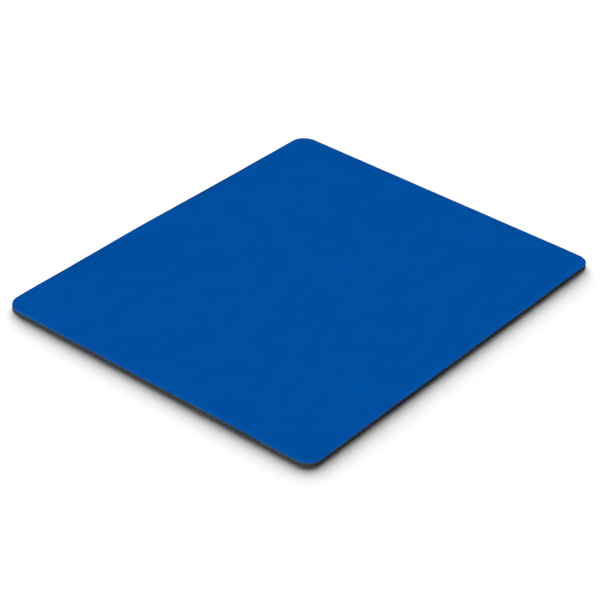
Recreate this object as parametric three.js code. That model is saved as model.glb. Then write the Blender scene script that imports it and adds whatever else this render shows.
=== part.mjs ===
// A cloth-topped mouse pad: four sheets bonded face to face and die-cut as one soft slab.
// Millimetres, +Z up. The origin is the middle of the underside, where the pad lies on the desk.
// X runs along the long side and Y along the short side, away from the user.

import * as THREE from "three";

// The die-cut outline, which every sheet shares.
const PAD_WIDTH = 223;
const PAD_DEPTH = 183;
const CORNER_RADIUS = 8.5;

// The sheets' thicknesses, from the desk upwards.
const GRIP_THICKNESS = 0.45;
const CORE_THICKNESS = 1.45;
const FILM_THICKNESS = 0.07;
const CLOTH_THICKNESS = 0.5;

// What each sheet keeps clear of the one under it, so that no two share a face.
const BOND_CLEARANCE = 0.01;

// The die's mark on the cut edges: it presses the rim of the cloth round, the foam is squeezed
// as it is cut and springs back hollow, and the rubber keeps a small round underneath.
const CLOTH_RIM_ROUND = 0.25;
const CORE_EDGE_HOLLOW = 0.12;
const GRIP_RIM_ROUND = 0.15;

// How finely a corner and a rounded edge are divided.
const CORNER_DIVISIONS = 8;
const EDGE_DIVISIONS = 4;

const QUARTER_TURN = Math.PI / 2;
const HALF_TURN = Math.PI;

// The pad's outline as anticlockwise points, drawn in from the cut by inset.
function padOutline(inset) {
  const cornerX = PAD_WIDTH / 2 - CORNER_RADIUS;
  const cornerY = PAD_DEPTH / 2 - CORNER_RADIUS;
  const radius = CORNER_RADIUS - inset;
  const outline = new THREE.Shape();
  outline.absarc(cornerX, -cornerY, radius, -QUARTER_TURN, 0, false);
  outline.absarc(cornerX, cornerY, radius, 0, QUARTER_TURN, false);
  outline.absarc(-cornerX, cornerY, radius, QUARTER_TURN, HALF_TURN, false);
  outline.absarc(-cornerX, -cornerY, radius, -HALF_TURN, -QUARTER_TURN, false);
  return outline.getPoints(CORNER_DIVISIONS);
}

// A closed sheet. Its edge is a path from the underside up, whose x is how far the outline is
// drawn in and whose y is the height.
function sheet(edge) {
  const rings = edge.getPoints(EDGE_DIVISIONS).map(({ x: inset, y: height }) =>
    padOutline(inset).map((point) => new THREE.Vector3(point.x, point.y, height)),
  );
  const count = rings[0].length;
  const topRing = (rings.length - 1) * count;
  const faces = [];
  for (const [a, b, c] of THREE.ShapeUtils.triangulateShape(padOutline(0), [])) {
    faces.push(c, b, a);
    faces.push(topRing + a, topRing + b, topRing + c);
  }
  for (let ring = 0; ring < topRing; ring += count) {
    for (let i = 0; i < count; i += 1) {
      const next = (i + 1) % count;
      faces.push(ring + i, ring + next, ring + count + next);
      faces.push(ring + i, ring + count + next, ring + count + i);
    }
  }
  const geometry = new THREE.BufferGeometry().setFromPoints(rings.flat());
  geometry.setIndex(faces);
  geometry.computeVertexNormals();
  return geometry;
}

// A cut edge with a round at its top.
function roundTopEdge(thickness, round) {
  const edge = new THREE.Path();
  edge.moveTo(0, 0);
  edge.lineTo(0, thickness - round);
  edge.absarc(round, thickness - round, round, HALF_TURN, QUARTER_TURN, true);
  return edge;
}

// A cut edge with a round underneath.
function roundUnderEdge(thickness, round) {
  const edge = new THREE.Path();
  edge.absarc(round, round, round, -QUARTER_TURN, -HALF_TURN, true);
  edge.lineTo(0, thickness);
  return edge;
}

// A cut edge that is flush at both faces and hollow at its mid height.
function hollowEdge(thickness, hollow) {
  const edge = new THREE.Path();
  edge.moveTo(0, 0);
  edge.quadraticCurveTo(2 * hollow, thickness / 2, 0, thickness);
  return edge;
}

// A cut edge that is square to both faces.
function squareEdge(thickness) {
  const edge = new THREE.Path();
  edge.moveTo(0, 0);
  edge.lineTo(0, thickness);
  return edge;
}

function rubberMaterial() {
  return new THREE.MeshStandardMaterial({ color: 0x262729, roughness: 0.75, metalness: 0 });
}

function foamMaterial() {
  return new THREE.MeshStandardMaterial({ color: 0x3c3e3f, roughness: 0.95, metalness: 0 });
}

function filmMaterial() {
  return new THREE.MeshStandardMaterial({ color: 0x8f9498, roughness: 0.4, metalness: 0 });
}

function clothMaterial() {
  return new THREE.MeshStandardMaterial({ color: 0x024e9e, roughness: 0.9, metalness: 0 });
}

// Embossed non-slip rubber, which lies on the desk.
function gripBase() {
  return new THREE.Mesh(sheet(roundUnderEdge(GRIP_THICKNESS, GRIP_RIM_ROUND)), rubberMaterial());
}

// Sponge rubber, which cushions the wrist and makes up most of the thickness.
function foamCore() {
  return new THREE.Mesh(sheet(hollowEdge(CORE_THICKNESS, CORE_EDGE_HOLLOW)), foamMaterial());
}

// Hot-melt film, which bonds the cloth to the foam.
function bondingFilm() {
  return new THREE.Mesh(sheet(squareEdge(FILM_THICKNESS)), filmMaterial());
}

// Fine knitted polyester, which the mouse glides on.
function topCloth() {
  return new THREE.Mesh(sheet(roundTopEdge(CLOTH_THICKNESS, CLOTH_RIM_ROUND)), clothMaterial());
}

const mousePad = new THREE.Group();
const layers = [
  { name: "grip_base", mesh: gripBase(), thickness: GRIP_THICKNESS },
  { name: "foam_core", mesh: foamCore(), thickness: CORE_THICKNESS },
  { name: "bonding_film", mesh: bondingFilm(), thickness: FILM_THICKNESS },
  { name: "top_cloth", mesh: topCloth(), thickness: CLOTH_THICKNESS },
];
let underside = 0;
for (const { name, mesh, thickness } of layers) {
  mesh.name = name;
  mesh.position.z = underside;
  mousePad.add(mesh);
  underside += thickness + BOND_CLEARANCE;
}

export default mousePad;
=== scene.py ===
"""A blue cloth mouse pad, dressed sheet by sheet round its CAD frame.

Lengths are in metres, in the frame's own axes: X runs along the long side, Y away from the user
and Z up from the desk. Four sheets lie on each other and share one die-cut outline.
"""

import math

import bpy
import numpy as np
from bpy.props import FloatProperty, FloatVectorProperty, IntProperty, PointerProperty
from mathutils import Matrix, Vector
from mathutils.geometry import delaunay_2d_cdt


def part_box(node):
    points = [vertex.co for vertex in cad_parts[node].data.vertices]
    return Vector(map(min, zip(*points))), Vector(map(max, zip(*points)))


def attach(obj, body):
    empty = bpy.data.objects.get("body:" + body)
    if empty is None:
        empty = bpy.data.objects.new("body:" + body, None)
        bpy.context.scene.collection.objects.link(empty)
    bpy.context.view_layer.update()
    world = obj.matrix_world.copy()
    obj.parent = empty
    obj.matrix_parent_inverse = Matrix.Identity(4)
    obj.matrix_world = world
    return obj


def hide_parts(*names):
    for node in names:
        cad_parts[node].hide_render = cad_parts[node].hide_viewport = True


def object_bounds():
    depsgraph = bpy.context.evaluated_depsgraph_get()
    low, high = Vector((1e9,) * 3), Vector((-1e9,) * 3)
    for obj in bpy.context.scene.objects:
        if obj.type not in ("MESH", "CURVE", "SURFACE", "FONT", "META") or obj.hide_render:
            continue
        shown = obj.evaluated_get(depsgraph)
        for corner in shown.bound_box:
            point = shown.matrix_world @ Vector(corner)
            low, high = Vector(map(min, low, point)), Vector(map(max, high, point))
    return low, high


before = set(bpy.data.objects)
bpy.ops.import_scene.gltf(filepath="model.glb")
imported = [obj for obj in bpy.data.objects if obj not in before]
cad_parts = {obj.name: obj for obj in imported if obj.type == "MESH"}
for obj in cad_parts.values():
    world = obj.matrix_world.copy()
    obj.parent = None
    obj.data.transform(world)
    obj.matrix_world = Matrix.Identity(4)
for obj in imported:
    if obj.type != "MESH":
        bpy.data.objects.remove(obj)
CAD_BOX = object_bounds()

bl_info = {
    "name": "Mouse Pad",
    "version": (1, 0, 0),
    "blender": (4, 5, 0),
    "location": "View3D > Sidebar > Mouse Pad",
    "description": "Builds a cloth-topped mouse pad sheet by sheet, and the studio it lies in",
    "category": "Add Mesh",
}

MM = 0.001
BODY = "root"

# Seeds of the three kinds of chance in the shapes.
CUT_SEED = 11
SPONGE_SEED = 23
SLACK_SEED = 5

# The cut's waves, by how many of each go round the outline. Then the slack's slow waves: how many
# there are, and the shares of the mean length that theirs lie between.
CUT_CYCLES = range(8, 120)
SLACK_WAVES = 8
SLACK_LENGTH_SHARES = (0.6, 1.4)

# Which way each corner lies from the middle, anticlockwise from the near right.
CORNER_SIGNS = np.array([(1, -1), (1, 1), (-1, 1), (-1, -1)])

# Where an embossed pip has its plan points, as shares of the pitch from a groove crossing. The
# first five lie in the grooves, and the last four are the corners of the pip's crown.
GROOVE_POINT_SHARES = ((0.0, 0.0), (0.2, 0.0), (0.8, 0.0), (0.0, 0.2), (0.0, 0.8))
CROWN_POINT_SHARES = ((0.26, 0.26), (0.74, 0.26), (0.26, 0.74), (0.74, 0.74))
CROWN_START_SHARE = 0.26

# How far the pips' points keep from the rubber's round, as a share of the outline's spacing.
PIP_MARGIN_SHARE = 1 / 3

# Rings of points up the rubber's lower round, up the sponge and up the cloth's upper round.
GRIP_ROUND_RINGS = 4
SPONGE_RINGS = 7
CLOTH_ROUND_RINGS = 6

# How fast the sponge's unevenness grows from nothing at its top and bottom.
GRAIN_RISE = 3

# Inward from the frayed yarn, as shares of the raised rim's reach: the loops of points that follow
# the rim, and where the grid of the cloth's face begins.
LIP_LOOP_SHARES = (0.3, 0.8, 1.4)
FACE_START_SHARE = 2

# Points of a filled face that lie nearer to each other than this, in millimetres, count as one.
FILL_TOLERANCE = 1e-6

# Faces that meet at more than this keep a sharp edge: on the embossed rubber, and elsewhere.
PIP_SHARP_ANGLE = math.radians(15)
SHEET_SHARP_ANGLE = math.radians(40)

# Which of the cloth's materials its cut wall has, and which the frayed yarn round its face. The
# frayed yarn's paler colour is partly real fray and partly painted highlight from backlit fibres.
CUT_YARN, FRAYED_HIGHLIGHT_YARN = 1, 2

# The two colour sockets of a Mix node and its colour result, whose names repeat on the node.
MIX_A, MIX_B, MIX_RESULT = 6, 7, 2

# In the cloth: how the mottling is drawn out along the roll, how much the stitches add to it, and a
# lint speck's dense middle as a share of its size, with how much of its colour shows there.
MOTTLE_SCALES = (0.55, 1, 1)
STITCH_SHARE = 0.15
LINT_CORE_SHARE = 1 / 3
LINT_COVER = 0.18

# Where a cut bubble of the sponge ends and where its wall is full, as shares of a cell.
BUBBLE_END = 0.15
WALL_START = 0.55

# The studio: how far under the pad its floor lies, the paper's tooth as drawn, how bright what is
# past the floor looks to the camera, and the colour of all that isn't floor.
FLOOR_DROP = 0.02 * MM
PAPER_TOOTH = 2 * MM
BACKDROP_STRENGTH = 1.1
WHITE = (1, 1, 1, 1)

# Each light's place, and its width and height. Both cards stand on the floor, and all face the pad.
LIGHTS = {
    "left_card": ((-1.18, -0.21, 0.016), (0.8, 0.03)),
    "right_card": ((0.1, -1.2, 0.016), (0.8, 0.03)),
    "softbox": ((-0.5, 0.5, 0.2), (0.4, 0.3)),
}

# The camera's sensor in millimetres, and the nearest and furthest that it sees.
SENSOR_WIDTH = 36
CLIP_RANGE = (0.01, 100)


def linear(hex_colour):
    """The linear RGB of an sRGB colour written as #RRGGBB."""
    channels = (int(hex_colour[i : i + 2], 16) / 255 for i in (1, 3, 5))
    return tuple(c / 12.92 if c <= 0.04045 else ((c + 0.055) / 1.055) ** 2.4 for c in channels)


class MousePadSizes(bpy.types.PropertyGroup):
    """Sizes of the sheets that the frame leaves open."""

    corner_radii: FloatVectorProperty(
        name="Corner Radii",
        description="Anticlockwise from the near right corner",
        size=4,
        default=(7.0 * MM, 8.5 * MM, 9.0 * MM, 8.2 * MM),
        unit="LENGTH",
    )
    corner_press: FloatVectorProperty(
        name="Corner Press",
        description="How far each corner is pressed thinner, anticlockwise from the near right",
        size=4,
        default=(0.22 * MM, 0, 0.3 * MM, 0.27 * MM),
        unit="LENGTH",
    )
    press_reach: FloatProperty(
        name="Press Reach",
        description="How far from a corner's point the pressing reaches",
        default=14 * MM,
        unit="LENGTH",
    )
    outline_spacing: FloatProperty(
        name="Outline Spacing",
        description="Distance between the points of the cut outline",
        default=1.0 * MM,
        unit="LENGTH",
    )
    cloth_cell: FloatProperty(
        name="Cloth Cell",
        description="Cell of the cloth's upper face",
        default=2.0 * MM,
        unit="LENGTH",
    )
    hidden_cell: FloatProperty(
        name="Hidden Cell",
        description="Cell of the faces that are bonded together",
        default=5.0 * MM,
        unit="LENGTH",
    )
    cut_wobble: FloatProperty(
        name="Cut Wobble",
        description="Waviness of the cut, as its mean departure from the outline",
        default=0.03 * MM,
        unit="LENGTH",
    )
    cloth_rim_round: FloatProperty(
        name="Cloth Rim Round",
        description="Radius that the die presses on the cloth's upper edge",
        default=0.09 * MM,
        unit="LENGTH",
    )
    # The frayed band is painted paler: partly real fray, partly painted highlight from backlit
    # fibres.
    frayed_highlight_rim: FloatProperty(
        name="Frayed Rim",
        description="How far in over the face the cut yarn is frayed",
        default=0.15 * MM,
        unit="LENGTH",
    )
    rim_lip: FloatProperty(
        name="Rim Lip",
        description="How far the die, cutting from underneath, pushes the cloth's rim up",
        default=0.05 * MM,
        unit="LENGTH",
    )
    rim_reach: FloatProperty(
        name="Rim Reach",
        description="How far in from the cut the raised rim reaches",
        default=0.75 * MM,
        unit="LENGTH",
    )
    core_hollow: FloatProperty(
        name="Core Hollow",
        description="How far the cut sponge springs back at mid height",
        default=0.12 * MM,
        unit="LENGTH",
    )
    core_grain: FloatProperty(
        name="Core Grain",
        description="Unevenness of the cut sponge",
        default=0.025 * MM,
        unit="LENGTH",
    )
    grip_rim_round: FloatProperty(
        name="Grip Rim Round",
        description="Radius of the rubber's lower edge",
        default=0.15 * MM,
        unit="LENGTH",
    )
    pip_pitch: FloatProperty(
        name="Pip Pitch",
        description="Distance between the embossed pips",
        default=2.4 * MM,
        unit="LENGTH",
    )
    groove_depth: FloatProperty(
        name="Groove Depth",
        description="Depth of the grooves between the pips",
        default=0.2 * MM,
        unit="LENGTH",
    )
    back_lift: FloatProperty(
        name="Back Lift",
        description="How far the back edge rises off the desk at its crest",
        default=0.55 * MM,
        unit="LENGTH",
    )
    lift_crest: FloatProperty(
        name="Lift Crest",
        description="Where along the back edge the crest is",
        default=-16 * MM,
        unit="LENGTH",
    )
    lift_width: FloatProperty(
        name="Lift Width",
        description="From the crest to where the back edge lies flat again",
        default=64 * MM,
        unit="LENGTH",
    )
    lift_reach: FloatProperty(
        name="Lift Reach",
        description="How far in from the back edge the rise reaches",
        default=40 * MM,
        unit="LENGTH",
    )
    slack: FloatProperty(
        name="Slack",
        description="Mean height of the slow waves where the pad stands off the desk",
        default=0.03 * MM,
        unit="LENGTH",
    )
    slack_wave: FloatProperty(
        name="Slack Wave",
        description="Mean length of the slow waves",
        default=80 * MM,
        unit="LENGTH",
    )


class MousePadFinish(bpy.types.PropertyGroup):
    """Colours of the sheets, and the sizes of what their surfaces show."""

    cloth_colour: FloatVectorProperty(
        name="Cloth",
        description="Dye of the cloth",
        subtype="COLOR",
        default=linear("#014288"),
    )
    yarn_colour: FloatVectorProperty(
        name="Cut Yarn",
        description="Bare yarn ends along the cut",
        subtype="COLOR",
        default=linear("#1C4470"),
    )
    # Partly the frayed yarn's own colour, partly painted highlight from backlit fibres.
    frayed_highlight_colour: FloatVectorProperty(
        name="Frayed Yarn",
        description="Yarn that the die has frayed along the cloth's rim",
        subtype="COLOR",
        default=linear("#2C5A92"),
    )
    lint_colour: FloatVectorProperty(
        name="Lint",
        description="Specks caught in the cloth",
        subtype="COLOR",
        default=linear("#7F98BC"),
    )
    film_colour: FloatVectorProperty(
        name="Film",
        description="Hot-melt film at its edge",
        subtype="COLOR",
        default=linear("#6B7075"),
    )
    sponge_colour: FloatVectorProperty(
        name="Sponge",
        description="Cell walls of the cut sponge",
        subtype="COLOR",
        default=linear("#323435"),
    )
    rubber_colour: FloatVectorProperty(
        name="Rubber",
        description="Non-slip underside",
        subtype="COLOR",
        default=linear("#34373A"),
    )
    paper_colour: FloatVectorProperty(
        name="Paper",
        description="Studio floor",
        subtype="COLOR",
        default=linear("#E6E6E6"),
    )
    stitch_pitch: FloatProperty(
        name="Stitch Pitch",
        description="Width of one knitted column as drawn",
        default=1.2 * MM,
        unit="LENGTH",
    )
    mottle_size: FloatProperty(
        name="Mottle Size",
        description="Size of the faint light and dark places in the dye and the film",
        default=9.0 * MM,
        unit="LENGTH",
    )
    lint_spacing: FloatProperty(
        name="Lint Spacing",
        description="Mean distance between lint specks",
        default=28.0 * MM,
        unit="LENGTH",
    )
    lint_size: FloatProperty(
        name="Lint Size",
        description="Radius of a lint speck",
        default=0.45 * MM,
        unit="LENGTH",
    )
    sponge_cell: FloatProperty(
        name="Sponge Cell",
        description="Size of the cut bubbles as drawn",
        default=0.6 * MM,
        unit="LENGTH",
    )
    rubber_grain: FloatProperty(
        name="Rubber Grain",
        description="Size of the rubber's matt grain as drawn",
        default=0.5 * MM,
        unit="LENGTH",
    )


class MousePadStudio(bpy.types.PropertyGroup):
    """The camera, the light and the floor."""

    azimuth: FloatProperty(
        name="Azimuth",
        description="Camera's bearing round the pad",
        default=math.radians(-53.063),
        subtype="ANGLE",
    )
    elevation: FloatProperty(
        name="Elevation",
        description="Camera's height above the desk",
        default=math.radians(33.485),
        subtype="ANGLE",
    )
    roll: FloatProperty(
        name="Roll",
        description="Camera's turn about its own line of sight",
        default=math.radians(3.353),
        subtype="ANGLE",
    )
    aim: FloatVectorProperty(
        name="Aim",
        description="Point of the cloth's face at the middle of the picture",
        size=2,
        default=(-14.43 * MM, -7.916 * MM),
        unit="LENGTH",
    )
    distance: FloatProperty(
        name="Distance",
        description="From the camera to the point that it aims at",
        default=1004.9 * MM,
        unit="LENGTH",
    )
    lens: FloatProperty(
        name="Lens",
        description="Focal length in millimetres on a 36 mm sensor",
        default=127.29,
        unit="CAMERA",
    )
    glow_bearing: FloatProperty(
        name="Glow Bearing",
        description="Direction of the bright screen behind the pad, turned from X towards Y",
        default=math.radians(42),
        subtype="ANGLE",
    )
    glow_fall: FloatProperty(
        name="Glow Fall",
        description="Height angle over which the screen's light falls to a third",
        default=math.radians(15),
        subtype="ANGLE",
    )
    glow_focus: FloatProperty(
        name="Glow Focus",
        description="How closely the screen's light keeps to its bearing",
        default=4.5,
    )
    glow_strength: FloatProperty(
        name="Glow Strength",
        description="Screen's light at its foot",
        default=70.5,
    )
    room_strength: FloatProperty(
        name="Room Strength",
        description="Light of the room from every other side",
        default=0.015,
    )
    left_card_power: FloatProperty(
        name="Left Card Power",
        description="Watts of the low card of light on the pad's near left",
        default=14.0,
        unit="POWER",
    )
    right_card_power: FloatProperty(
        name="Right Card Power",
        description="Watts of the low card of light on the pad's near right",
        default=2.4,
        unit="POWER",
    )
    softbox_power: FloatProperty(
        name="Softbox Power",
        description="Watts of the softbox on the pad's far left",
        default=0.45,
        unit="POWER",
    )
    floor_radius: FloatProperty(
        name="Floor Radius",
        description="Radius of the studio floor",
        default=10.0,
        unit="LENGTH",
    )
    floor_segments: IntProperty(
        name="Floor Segments",
        description="Sides of the floor's round outline",
        default=96,
    )


def add_node(tree, kind, inputs=None, **settings):
    """Adds a node with its settings, and gives each named input a value or a link."""
    node = tree.nodes.new(kind)
    for name, value in settings.items():
        setattr(node, name, value)
    for name, value in (inputs or {}).items():
        if isinstance(value, bpy.types.Node):
            value = value.outputs[0]
        if isinstance(value, bpy.types.NodeSocket):
            tree.links.new(value, node.inputs[name])
        else:
            node.inputs[name].default_value = value
    return node


def new_material(name):
    """An empty material, with its node tree and the pad's own coordinates in metres."""
    material = bpy.data.materials.new(name)
    material.use_nodes = True
    tree = material.node_tree
    tree.nodes.clear()
    place = add_node(tree, "ShaderNodeTexCoord").outputs["Object"]
    return material, tree, place


def bands_scale(period):
    """Scale of a Wave texture whose bands repeat after this length. At 1 they do after pi / 10."""
    return math.pi / 10 / period


def shades(colour, dark, light):
    """A colour's dark and light shade, for the two colour sockets of a Mix node."""
    return {
        MIX_A: (*(channel * dark for channel in colour), 1),
        MIX_B: (*(channel * light for channel in colour), 1),
    }


def knit_cloth_material(finish):
    """Dyed polyester jersey, knitted fine and heat-pressed flat.

    To the eye it is a deep, dead-matt blue with no highlight, a faint grain of stitches and a few
    specks of lint. Real stitches are about 0.5 mm wide, too fine for the picture, so they are
    drawn at a little over twice that, and very faintly.
    """
    material, tree, place = new_material("dyed_polyester_jersey")
    columns, courses = (
        add_node(
            tree,
            "ShaderNodeTexWave",
            {
                "Vector": place,
                "Scale": bands_scale(finish.stitch_pitch),
                "Distortion": 1.5,
                "Detail": 1.0,
            },
            bands_direction=direction,
        ).outputs["Fac"]
        for direction in "XY"
    )
    stitch = add_node(tree, "ShaderNodeMath", {0: columns, 1: courses}, operation="MULTIPLY")
    drawn_out = add_node(tree, "ShaderNodeMapping", {"Vector": place, "Scale": MOTTLE_SCALES})
    mottle = add_node(
        tree,
        "ShaderNodeTexNoise",
        {"Vector": drawn_out, "Scale": 1 / finish.mottle_size, "Detail": 4.0, "Roughness": 0.7},
    )
    faint_stitch = add_node(
        tree, "ShaderNodeMath", {0: stitch, 1: STITCH_SHARE}, operation="MULTIPLY"
    )
    grain = add_node(tree, "ShaderNodeMath", {0: faint_stitch, 1: mottle}, operation="ADD")
    dye = add_node(
        tree,
        "ShaderNodeMix",
        {"Factor": grain, **shades(finish.cloth_colour, dark=0.84, light=1.145)},
        data_type="RGBA",
    ).outputs[MIX_RESULT]
    speck = add_node(
        tree,
        "ShaderNodeTexVoronoi",
        {"Vector": place, "Scale": 1 / finish.lint_spacing},
        voronoi_dimensions="2D",
    )
    speck_share = finish.lint_size / finish.lint_spacing
    tuft = add_node(
        tree,
        "ShaderNodeMapRange",
        {
            "Value": speck.outputs["Distance"],
            "From Min": speck_share * LINT_CORE_SHARE,
            "From Max": speck_share,
            "To Min": LINT_COVER,
            "To Max": 0.0,
        },
    )
    lint = add_node(
        tree, "ShaderNodeMath", {0: tuft, 1: speck.outputs["Color"]}, operation="MULTIPLY"
    )
    colour = add_node(
        tree,
        "ShaderNodeMix",
        {"Factor": lint, MIX_A: dye, MIX_B: (*finish.lint_colour, 1)},
        data_type="RGBA",
    ).outputs[MIX_RESULT]
    relief = add_node(
        tree, "ShaderNodeBump", {"Strength": 0.35, "Distance": 0.05 * MM, "Height": stitch}
    )
    shader = add_node(
        tree,
        "ShaderNodeBsdfPrincipled",
        {"Base Color": colour, "Roughness": 0.95, "Specular IOR Level": 0.0, "Normal": relief},
    )
    add_node(tree, "ShaderNodeOutputMaterial", {"Surface": shader})
    return material


def cut_yarn_material(name, yarn_colour, finish):
    """The same jersey seen at its die-cut edge, or where the die has frayed it.

    The dye is thinner inside the yarn than on the face. Along the rim the frayed yarn is paler
    still: partly real fray and partly painted highlight, the light that backlit fibres catch, so
    the rim shows as a slightly paler line.
    Yarn ends are drawn one stitch apart, as coarse as on the face.
    """
    material, tree, place = new_material(name)
    ends = add_node(
        tree,
        "ShaderNodeTexNoise",
        {"Vector": place, "Scale": 1 / finish.stitch_pitch, "Detail": 2.0, "Roughness": 0.7},
    )
    # For the frayed yarn this colour is partly painted highlight from backlit fibres.
    colour = add_node(
        tree,
        "ShaderNodeMix",
        {"Factor": ends, **shades(yarn_colour, dark=0.6, light=1)},
        data_type="RGBA",
    ).outputs[MIX_RESULT]
    relief = add_node(
        tree, "ShaderNodeBump", {"Strength": 0.5, "Distance": 0.05 * MM, "Height": ends}
    )
    shader = add_node(
        tree,
        "ShaderNodeBsdfPrincipled",
        {"Base Color": colour, "Roughness": 0.95, "Specular IOR Level": 0.0, "Normal": relief},
    )
    add_node(tree, "ShaderNodeOutputMaterial", {"Surface": shader})
    return material


def adhesive_film_material(finish):
    """Hot-melt polyurethane film, pressed between the cloth and the sponge.

    Only its hairline edge is outside: greyish, half clear and a little glossier than what it joins,
    with cloudy places where it has soaked into the yarn.
    """
    material, tree, place = new_material("hot_melt_film")
    cloud = add_node(
        tree,
        "ShaderNodeTexNoise",
        {"Vector": place, "Scale": 1 / finish.mottle_size, "Detail": 2.0},
    )
    colour = add_node(
        tree,
        "ShaderNodeMix",
        {"Factor": cloud, **shades(finish.film_colour, dark=0.7, light=1)},
        data_type="RGBA",
    ).outputs[MIX_RESULT]
    shader = add_node(
        tree,
        "ShaderNodeBsdfPrincipled",
        {"Base Color": colour, "Roughness": 0.4, "IOR": 1.5, "Specular IOR Level": 0.3},
    )
    add_node(tree, "ShaderNodeOutputMaterial", {"Surface": shader})
    return material


def sponge_rubber_material(finish):
    """Expanded rubber, die-cut through its closed bubbles.

    The cut is a dull dark grey, pitted with bubbles whose darker colour is painted shade in their
    hollows. They are about 0.2 mm across and are drawn three times as large, so that the edge shows
    some grain.
    """
    material, tree, place = new_material("expanded_sponge_rubber")
    bubbles = add_node(
        tree,
        "ShaderNodeTexVoronoi",
        {"Vector": place, "Scale": 1 / finish.sponge_cell},
        feature="SMOOTH_F1",
    )
    wall_and_pit_shade = add_node(
        tree,
        "ShaderNodeMapRange",
        {"Value": bubbles.outputs["Distance"], "From Min": BUBBLE_END, "From Max": WALL_START},
    )
    # Darker inside the bubbles: painted shade in their hollows.
    colour = add_node(
        tree,
        "ShaderNodeMix",
        {"Factor": wall_and_pit_shade, **shades(finish.sponge_colour, dark=0.5, light=1.15)},
        data_type="RGBA",
    ).outputs[MIX_RESULT]
    relief = add_node(
        tree, "ShaderNodeBump", {"Strength": 0.7, "Distance": 0.15 * MM, "Height": wall_and_pit_shade}
    )
    shader = add_node(
        tree,
        "ShaderNodeBsdfPrincipled",
        {"Base Color": colour, "Roughness": 0.95, "Specular IOR Level": 0.1, "Normal": relief},
    )
    add_node(tree, "ShaderNodeOutputMaterial", {"Surface": shader})
    return material


def embossed_rubber_material(finish):
    """Solid rubber skin, rolled hot over an embossing drum.

    It is near black, with the dull, slightly tacky gloss of bare rubber and a matt grain. Real
    grain is about 0.1 mm and is drawn five times as coarse, so that it shows.
    """
    material, tree, place = new_material("embossed_rubber")
    grain = add_node(
        tree,
        "ShaderNodeTexNoise",
        {"Vector": place, "Scale": 1 / finish.rubber_grain, "Detail": 4.0, "Roughness": 0.65},
    )
    colour = add_node(
        tree,
        "ShaderNodeMix",
        {"Factor": grain, **shades(finish.rubber_colour, dark=0.75, light=1.25)},
        data_type="RGBA",
    ).outputs[MIX_RESULT]
    dullness = add_node(
        tree, "ShaderNodeMapRange", {"Value": grain, "To Min": 0.6, "To Max": 0.85}
    )
    relief = add_node(
        tree, "ShaderNodeBump", {"Strength": 0.4, "Distance": 0.04 * MM, "Height": grain}
    )
    shader = add_node(
        tree,
        "ShaderNodeBsdfPrincipled",
        {
            "Base Color": colour,
            "Roughness": dullness,
            "IOR": 1.52,
            "Specular IOR Level": 0.3,
            "Normal": relief,
        },
    )
    add_node(tree, "ShaderNodeOutputMaterial", {"Surface": shader})
    return material


def background_paper_material(finish):
    """Seamless background paper: flat, white and without gloss, with a soft tooth.

    Real tooth is a few tenths of a millimetre and is drawn about ten times as coarse, so that it
    shows at all.
    """
    material, tree, place = new_material("background_paper")
    tooth = add_node(
        tree, "ShaderNodeTexNoise", {"Vector": place, "Scale": 1 / PAPER_TOOTH, "Detail": 2.0}
    )
    colour = add_node(
        tree,
        "ShaderNodeMix",
        {"Factor": tooth, **shades(finish.paper_colour, dark=0.995, light=1)},
        data_type="RGBA",
    ).outputs[MIX_RESULT]
    shader = add_node(
        tree,
        "ShaderNodeBsdfPrincipled",
        {"Base Color": colour, "Roughness": 1.0, "Specular IOR Level": 0.0},
    )
    add_node(tree, "ShaderNodeOutputMaterial", {"Surface": shader})
    return material


def half_sides():
    """Half the long side and half the short side, from the frame."""
    low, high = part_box("top_cloth")
    return np.array([high.x - low.x, high.y - low.y]) / 2


def die_path(sizes):
    """What the cut outline is drawn from: for each of its points the centre of the corner that it
    belongs to, that corner's radius and the way the cut faces there. Along a straight side, centre
    and radius run evenly from one corner's to the next."""
    half = half_sides()
    radii = np.array(sizes.corner_radii)
    centres = CORNER_SIGNS * (half - radii[:, None])
    path_centres, path_radii, path_angles = [], [], []
    for corner in range(len(centres)):
        following = (corner + 1) % len(centres)
        start, end = (corner - 1) * math.pi / 2, corner * math.pi / 2
        steps = math.ceil(radii[corner] * (end - start) / sizes.outline_spacing)
        for angle in np.linspace(start, end, steps, endpoint=False):
            path_centres.append(centres[corner])
            path_radii.append(radii[corner])
            path_angles.append(angle)
        side = np.abs(centres[following] - centres[corner]).max()
        steps = math.ceil(side / sizes.outline_spacing)
        for share in np.linspace(0, 1, steps, endpoint=False):
            path_centres.append(centres[corner] * (1 - share) + centres[following] * share)
            path_radii.append(radii[corner] * (1 - share) + radii[following] * share)
            path_angles.append(end)
    facing = np.stack([np.cos(path_angles), np.sin(path_angles)], axis=1)
    return np.array(path_centres), np.array(path_radii), facing


def cut_waviness(sizes, count):
    """Departure of the cut from its outline at each point: slow waves that close on themselves."""
    chance = np.random.default_rng(CUT_SEED)
    turn = np.linspace(0, 2 * math.pi, count, endpoint=False)
    waves = np.zeros(count)
    for cycles in CUT_CYCLES:
        waves += np.sin(cycles * turn + chance.uniform(0, 2 * math.pi)) / cycles
    return waves * sizes.cut_wobble / waves.std()


def die_outline(sizes, inset=0.0):
    """The cut outline, anticlockwise, drawn in by inset, which may differ from point to point."""
    centres, radii, facing = die_path(sizes)
    reach = radii + cut_waviness(sizes, len(radii)) - inset
    return centres + reach[:, None] * facing


def depth_inside(sizes, points):
    """How far each point lies inside the outline."""
    near_right, far_right, far_left, near_left = sizes.corner_radii
    far = points[:, 1] > 0
    radii = np.where(
        points[:, 0] > 0,
        np.where(far, far_right, near_right),
        np.where(far, far_left, near_left),
    )
    beyond = np.abs(points) - (half_sides() - radii[:, None])
    outside = np.linalg.norm(np.maximum(beyond, 0), axis=1)
    return radii - outside - np.minimum(beyond.max(axis=1), 0)


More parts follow.
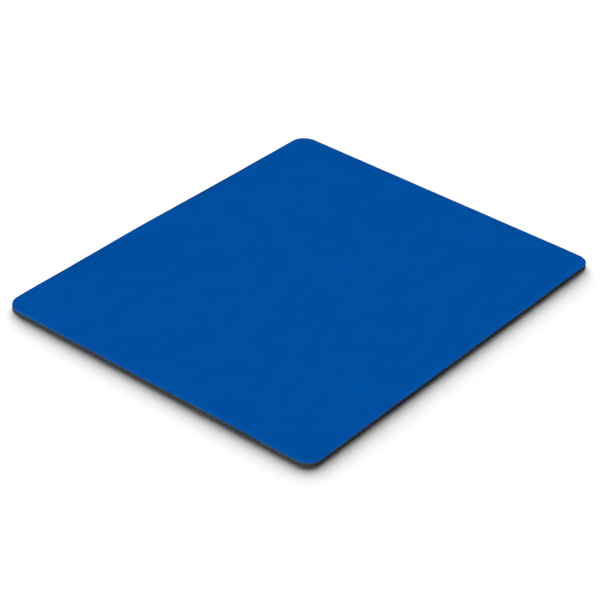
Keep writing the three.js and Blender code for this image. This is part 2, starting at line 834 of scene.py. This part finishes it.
def lie(sizes, points):
    """Height of the pad's slack over the desk: a back edge that lifts a little, as a soft sheet
    keeps from being rolled, and slow waves, which lie flat wherever they would sink."""
    back_edge = half_sides()[1]
    x, y = points[:, 0], points[:, 1]
    from_crest = np.clip((x - sizes.lift_crest) / sizes.lift_width, -1, 1)
    arch = np.cos(math.pi / 2 * from_crest) ** 2
    behind = np.exp(-(((back_edge - y) / sizes.lift_reach) ** 2))
    chance = np.random.default_rng(SLACK_SEED)
    waves = np.zeros(len(points))
    for _ in range(SLACK_WAVES):
        length = sizes.slack_wave * chance.uniform(*SLACK_LENGTH_SHARES)
        heading, phase = chance.uniform(0, 2 * math.pi, 2)
        along = x * math.cos(heading) + y * math.sin(heading)
        waves += np.sin(2 * math.pi * along / length + phase)
    # The mean square of the waves is half their number.
    standing = np.maximum(waves, 0) ** 2 / (SLACK_WAVES / 2)
    return sizes.back_lift * arch * behind + sizes.slack * standing


def pressed(sizes, points):
    """How much thinner the sponge is, where the die and much handling have pressed the corners."""
    thinner = np.zeros(len(points))
    for corner, depth in zip(CORNER_SIGNS * half_sides(), sizes.corner_press):
        away = np.linalg.norm(points - corner, axis=1)
        thinner += depth * np.exp(-((away / sizes.press_reach) ** 2))
    return thinner


def lie_on_sponge(sizes, points):
    """Height of the slack for what lies on the sponge."""
    return lie(sizes, points) - pressed(sizes, points)


def whole_steps(counts):
    """Points of a grid of whole numbers that goes this many steps each way from the middle."""
    across, along = (np.arange(-count, count + 1) for count in counts)
    return np.stack(np.meshgrid(across, along), axis=-1).reshape(-1, 2)


def grid_inside(sizes, cell, margin):
    """Points of a square grid that lie at least margin inside the outline."""
    points = whole_steps([math.floor(half / cell) for half in half_sides()]) * cell
    return points[depth_inside(sizes, points) > margin]


def hidden_grid(sizes):
    """Inner points of a face that is bonded to its neighbour."""
    return grid_inside(sizes, sizes.hidden_cell, sizes.hidden_cell / 2)


def fill(loop, inner):
    """Triangles over a closed loop that use every inner point, as index triples, loop first."""
    points = [Vector(point) for point in np.vstack([loop, inner]) / MM]
    border = list(range(len(loop)))
    made = delaunay_2d_cdt(points, [], [border], 1, FILL_TOLERANCE, True)
    faces, origins = made[2], made[3]
    return [[origins[corner][0] for corner in face] for face in faces]


def with_height(points, heights):
    """Plan points and their heights as points in space."""
    return np.column_stack([points, np.broadcast_to(heights, len(points))])


def sheet_mesh(name, rings, under, over):
    """A closed mesh: rings round the cut edge from the underside up, closed by an under and an over
    face that also use the inner points given. Returns it with the index of its first edge face."""
    count = len(rings[0])
    under_start = len(rings) * count
    over_start = under_start + len(under)
    last = under_start - count
    faces = []
    for triple in fill(rings[0][:, :2], under[:, :2]):
        faces.append([i if i < count else i - count + under_start for i in reversed(triple)])
    for triple in fill(rings[-1][:, :2], over[:, :2]):
        faces.append([i + last if i < count else i - count + over_start for i in triple])
    first_edge_face = len(faces)
    for ring in range(0, last, count):
        for i in range(count):
            following = (i + 1) % count
            faces.append([ring + i, ring + following, ring + count + following, ring + count + i])
    mesh = bpy.data.meshes.new(name)
    mesh.from_pydata(np.vstack([*rings, under, over]), [], faces)
    mesh.validate()
    return mesh, first_edge_face


def place_sheet(mesh, node, sharp_angle=SHEET_SHARP_ANGLE):
    """Puts a finished mesh in the scene as the piece that stands for a CAD node."""
    mesh.shade_smooth()
    mesh.set_sharp_from_angle(angle=sharp_angle)
    piece = bpy.data.objects.new(mesh.name, mesh)
    bpy.context.scene.collection.objects.link(piece)
    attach(piece, BODY)
    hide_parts(node)
    return piece


def levels_of(node):
    """Heights of a CAD sheet's underside and top."""
    low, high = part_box(node)
    return low.z, high.z


class MOUSEPAD_OT_grip_sheet(bpy.types.Operator):
    """Build the embossed rubber sheet that grips the desk"""

    bl_idname = "mouse_pad.grip_sheet"
    bl_label = "Grip Sheet"

    def groove_share(self, sizes, points):
        """How deep in the grooves each point lies: 1 in a groove's line and 0 on a crown."""
        steps = points / sizes.pip_pitch
        nearest = np.abs(steps - np.round(steps)).min(axis=1)
        return np.clip(1 - nearest / CROWN_START_SHARE, 0, 1)

    def pip_points(self, sizes, margin):
        """Plan points of the pips and the grooves that lie inside the outline."""
        pitch = sizes.pip_pitch
        crossings = whole_steps([math.ceil(half / pitch) for half in half_sides()])
        shares = np.array(GROOVE_POINT_SHARES + CROWN_POINT_SHARES)
        points = ((crossings[:, None] + shares) * pitch).reshape(-1, 2)
        return points[depth_inside(sizes, points) > margin]

    def execute(self, context):
        sizes = context.scene.mouse_pad_sizes
        low, high = levels_of("grip_base")
        depth, rim = sizes.groove_depth, sizes.grip_rim_round
        foot = low + depth * self.groove_share(sizes, die_outline(sizes, rim))
        rings = []
        for angle in np.linspace(0, math.pi / 2, GRIP_ROUND_RINGS):
            loop = die_outline(sizes, rim * (1 - math.sin(angle)))
            heights = np.minimum(foot + rim * (1 - math.cos(angle)), high)
            rings.append(with_height(loop, heights + lie(sizes, loop)))
        loop = die_outline(sizes)
        rings.append(with_height(loop, high + lie(sizes, loop)))
        pips = self.pip_points(sizes, rim + sizes.outline_spacing * PIP_MARGIN_SHARE)
        grooves = low + depth * self.groove_share(sizes, pips)
        under = with_height(pips, grooves + lie(sizes, pips))
        grid = hidden_grid(sizes)
        over = with_height(grid, high + lie(sizes, grid))
        mesh, _ = sheet_mesh("grip_sheet", rings, under, over)
        mesh.materials.append(embossed_rubber_material(context.scene.mouse_pad_finish))
        place_sheet(mesh, "grip_base", PIP_SHARP_ANGLE)
        return {"FINISHED"}


class MOUSEPAD_OT_sponge_core(bpy.types.Operator):
    """Build the sponge that cushions the wrist"""

    bl_idname = "mouse_pad.sponge_core"
    bl_label = "Sponge Core"

    def execute(self, context):
        sizes = context.scene.mouse_pad_sizes
        low, high = levels_of("foam_core")
        chance = np.random.default_rng(SPONGE_SEED)
        count = len(die_outline(sizes))
        rings = []
        for share in np.linspace(0, 1, SPONGE_RINGS):
            bow = math.sin(math.pi * share)
            grain = chance.normal(0, sizes.core_grain, count) * min(1, GRAIN_RISE * bow)
            loop = die_outline(sizes, sizes.core_hollow * bow + grain)
            thickness = high - low - pressed(sizes, loop)
            rings.append(with_height(loop, low + thickness * share + lie(sizes, loop)))
        grid = hidden_grid(sizes)
        under = with_height(grid, low + lie(sizes, grid))
        over = with_height(grid, high + lie_on_sponge(sizes, grid))
        mesh, _ = sheet_mesh("sponge_core", rings, under, over)
        mesh.materials.append(sponge_rubber_material(context.scene.mouse_pad_finish))
        piece = place_sheet(mesh, "foam_core")
        return {"FINISHED"}


class MOUSEPAD_OT_adhesive_film(bpy.types.Operator):
    """Build the hot-melt film between the cloth and the sponge"""

    bl_idname = "mouse_pad.adhesive_film"
    bl_label = "Adhesive Film"

    def execute(self, context):
        sizes = context.scene.mouse_pad_sizes
        low, high = levels_of("bonding_film")
        loop = die_outline(sizes)
        rings = [with_height(loop, level + lie_on_sponge(sizes, loop)) for level in (low, high)]
        grid = hidden_grid(sizes)
        under = with_height(grid, low + lie_on_sponge(sizes, grid))
        over = with_height(grid, high + lie_on_sponge(sizes, grid))
        mesh, _ = sheet_mesh("adhesive_film", rings, under, over)
        mesh.materials.append(adhesive_film_material(context.scene.mouse_pad_finish))
        place_sheet(mesh, "bonding_film")
        return {"FINISHED"}


class MOUSEPAD_OT_knit_top(bpy.types.Operator):
    """Build the knitted cloth that the mouse glides on"""

    bl_idname = "mouse_pad.knit_top"
    bl_label = "Knit Top"

    def face_height(self, sizes, points, high):
        """Height of the cloth's face, which the die has pushed up along its rim."""
        inside = np.maximum(depth_inside(sizes, points), 0)
        lip = sizes.rim_lip * np.exp(-((inside / sizes.rim_reach) ** 2))
        return high + lie_on_sponge(sizes, points) + lip

    def execute(self, context):
        sizes = context.scene.mouse_pad_sizes
        low, high = levels_of("top_cloth")
        rim = sizes.cloth_rim_round
        loop = die_outline(sizes)
        rings = [with_height(loop, low + lie_on_sponge(sizes, loop))]
        wall_rings = len(rings)
        for angle in np.linspace(0, math.pi / 2, CLOTH_ROUND_RINGS):
            loop = die_outline(sizes, rim * (1 - math.cos(angle)))
            drop = rim * (1 - math.sin(angle))
            rings.append(with_height(loop, self.face_height(sizes, loop, high) - drop))
        frayed_highlight_inset = rim + sizes.frayed_highlight_rim
        loop = die_outline(sizes, frayed_highlight_inset)
        rings.append(with_height(loop, self.face_height(sizes, loop, high)))
        grid = hidden_grid(sizes)
        under = with_height(grid, low + lie_on_sponge(sizes, grid))
        inner_loops = [
            die_outline(sizes, frayed_highlight_inset + sizes.rim_reach * share) for share in LIP_LOOP_SHARES
        ]
        face_start = frayed_highlight_inset + FACE_START_SHARE * sizes.rim_reach
        grid = grid_inside(sizes, sizes.cloth_cell, face_start)
        face = np.vstack([*inner_loops, grid])
        over = with_height(face, self.face_height(sizes, face, high))
        mesh, first_edge_face = sheet_mesh("knit_top", rings, under, over)
        finish = context.scene.mouse_pad_finish
        for material in (
            knit_cloth_material(finish),
            cut_yarn_material("cut_polyester_yarn", finish.yarn_colour, finish),
            cut_yarn_material("frayed_polyester_yarn", finish.frayed_highlight_colour, finish),
        ):
            mesh.materials.append(material)
        # The rim's round and the frayed band get the paler yarn: partly fray, partly painted
        # highlight.
        first_rim_face = first_edge_face + wall_rings * len(loop)
        for face in mesh.polygons[first_edge_face:]:
            face.material_index = CUT_YARN if face.index < first_rim_face else FRAYED_HIGHLIGHT_YARN
        piece = place_sheet(mesh, "top_cloth")
        return {"FINISHED"}


class MOUSEPAD_OT_stage(bpy.types.Operator):
    """Set the camera, the light and the floor"""

    bl_idname = "mouse_pad.stage"
    bl_label = "Stage"

    def lay_floor(self, studio, finish):
        """A wide round floor of white paper, just under the pad."""
        turns = np.linspace(0, 2 * math.pi, studio.floor_segments, endpoint=False)
        rim = studio.floor_radius * np.stack([np.cos(turns), np.sin(turns)], axis=1)
        mesh = bpy.data.meshes.new("studio_floor")
        mesh.from_pydata(with_height(rim, -FLOOR_DROP), [], [list(range(len(rim)))])
        mesh.materials.append(background_paper_material(finish))
        floor = bpy.data.objects.new("studio_floor", mesh)
        bpy.context.scene.collection.objects.link(floor)

    def light_room(self, scene, studio):
        """A bright low screen behind the pad, and a dim room on every other side. The camera itself
        sees plain white past the floor."""
        world = bpy.data.worlds.new("studio_room")
        world.use_nodes = True
        tree = world.node_tree
        tree.nodes.clear()
        direction = add_node(tree, "ShaderNodeTexCoord").outputs["Generated"]
        rise = add_node(tree, "ShaderNodeSeparateXYZ", {"Vector": direction}).outputs["Z"]
        above = add_node(tree, "ShaderNodeMath", {0: rise, 1: 0.0}, operation="MAXIMUM")
        height = add_node(tree, "ShaderNodeMath", {0: above}, operation="ARCSINE")
        falls = add_node(
            tree, "ShaderNodeMath", {0: height, 1: -1 / studio.glow_fall}, operation="MULTIPLY"
        )
        band = add_node(tree, "ShaderNodeMath", {0: falls}, operation="EXPONENT")
        bearing = (math.cos(studio.glow_bearing), math.sin(studio.glow_bearing), 0)
        towards = add_node(
            tree, "ShaderNodeVectorMath", {0: direction, 1: bearing}, operation="DOT_PRODUCT"
        ).outputs["Value"]
        level = add_node(tree, "ShaderNodeMath", {0: height}, operation="COSINE")
        ahead = add_node(
            tree, "ShaderNodeMath", {0: towards, 1: level}, operation="DIVIDE", use_clamp=True
        )
        lobe = add_node(tree, "ShaderNodeMath", {0: ahead, 1: studio.glow_focus}, operation="POWER")
        screen = add_node(tree, "ShaderNodeMath", {0: band, 1: lobe}, operation="MULTIPLY")
        light = add_node(
            tree,
            "ShaderNodeMapRange",
            {
                "Value": screen,
                "To Min": studio.room_strength,
                "To Max": studio.room_strength + studio.glow_strength,
            },
        )
        lit = add_node(tree, "ShaderNodeBackground", {"Color": WHITE, "Strength": light})
        seen = add_node(
            tree, "ShaderNodeBackground", {"Color": WHITE, "Strength": BACKDROP_STRENGTH}
        )
        to_camera = add_node(tree, "ShaderNodeLightPath").outputs["Is Camera Ray"]
        both = add_node(tree, "ShaderNodeMixShader", {0: to_camera, 1: lit, 2: seen})
        add_node(tree, "ShaderNodeOutputWorld", {"Surface": both})
        scene.world = world

    def hang_light(self, name, place, size, power):
        """A rectangle of soft light that faces the pad, out of the camera's sight."""
        lamp = bpy.data.lights.new(name, "AREA")
        lamp.shape = "RECTANGLE"
        lamp.size, lamp.size_y = size
        lamp.energy = power
        light = bpy.data.objects.new(name, lamp)
        light.location = place
        light.rotation_mode = "QUATERNION"
        light.rotation_quaternion = (-light.location).to_track_quat("-Z", "Y")
        light.visible_camera = False
        bpy.context.scene.collection.objects.link(light)

    def set_camera(self, scene, studio):
        """The camera that the photograph was taken with, as fitted to the pad's edges."""
        azimuth, elevation = studio.azimuth, studio.elevation
        back = Vector(
            (
                math.sin(azimuth) * math.cos(elevation),
                -math.cos(azimuth) * math.cos(elevation),
                math.sin(elevation),
            )
        )
        right = Vector((0, 0, 1)).cross(back).normalized()
        up = back.cross(right)
        turn = Matrix.Rotation(studio.roll, 3, back)
        axes = Matrix((turn @ right, turn @ up, back)).transposed()
        camera = bpy.data.objects.new("camera", bpy.data.cameras.new("camera"))
        camera.data.sensor_width = SENSOR_WIDTH
        camera.data.lens = studio.lens
        camera.data.clip_start, camera.data.clip_end = CLIP_RANGE
        aim = Vector((*studio.aim, CAD_BOX[1].z))
        camera.matrix_world = Matrix.Translation(aim + back * studio.distance) @ axes.to_4x4()
        scene.collection.objects.link(camera)
        scene.camera = camera

    def execute(self, context):
        scene = context.scene
        studio = scene.mouse_pad_studio
        scene.view_settings.view_transform = "Standard"
        self.set_camera(scene, studio)
        self.lay_floor(studio, scene.mouse_pad_finish)
        self.light_room(scene, studio)
        for name, (place, size) in LIGHTS.items():
            self.hang_light(name, place, size, getattr(studio, name + "_power"))
        return {"FINISHED"}


class MOUSEPAD_PT_sidebar(bpy.types.Panel):
    """Lists the pad's sheets, sizes and colours"""

    bl_idname = "MOUSEPAD_PT_sidebar"
    bl_label = "Mouse Pad"
    bl_space_type = "VIEW_3D"
    bl_region_type = "UI"
    bl_category = "Mouse Pad"

    def draw(self, context):
        layout = self.layout
        for operator in OPERATORS:
            layout.operator(operator.bl_idname)
        for name in GROUPS:
            group = getattr(context.scene, name)
            box = layout.box()
            for setting in group.bl_rna.properties:
                if setting.identifier not in ("rna_type", "name"):
                    box.prop(group, setting.identifier)


OPERATORS = (
    MOUSEPAD_OT_stage,
    MOUSEPAD_OT_grip_sheet,
    MOUSEPAD_OT_sponge_core,
    MOUSEPAD_OT_adhesive_film,
    MOUSEPAD_OT_knit_top,
)
GROUPS = {
    "mouse_pad_sizes": MousePadSizes,
    "mouse_pad_finish": MousePadFinish,
    "mouse_pad_studio": MousePadStudio,
}


def register():
    for kind in (*GROUPS.values(), *OPERATORS, MOUSEPAD_PT_sidebar):
        bpy.utils.register_class(kind)
    for name, group in GROUPS.items():
        setattr(bpy.types.Scene, name, PointerProperty(type=group))


def unregister():
    for name in GROUPS:
        delattr(bpy.types.Scene, name)
    for kind in (MOUSEPAD_PT_sidebar, *reversed(OPERATORS), *reversed(list(GROUPS.values()))):
        bpy.utils.unregister_class(kind)


def main():
    register()
    bpy.ops.mouse_pad.stage()
    bpy.ops.mouse_pad.grip_sheet()
    bpy.ops.mouse_pad.sponge_core()
    bpy.ops.mouse_pad.adhesive_film()
    bpy.ops.mouse_pad.knit_top()


if __name__ == "__main__":
    main()
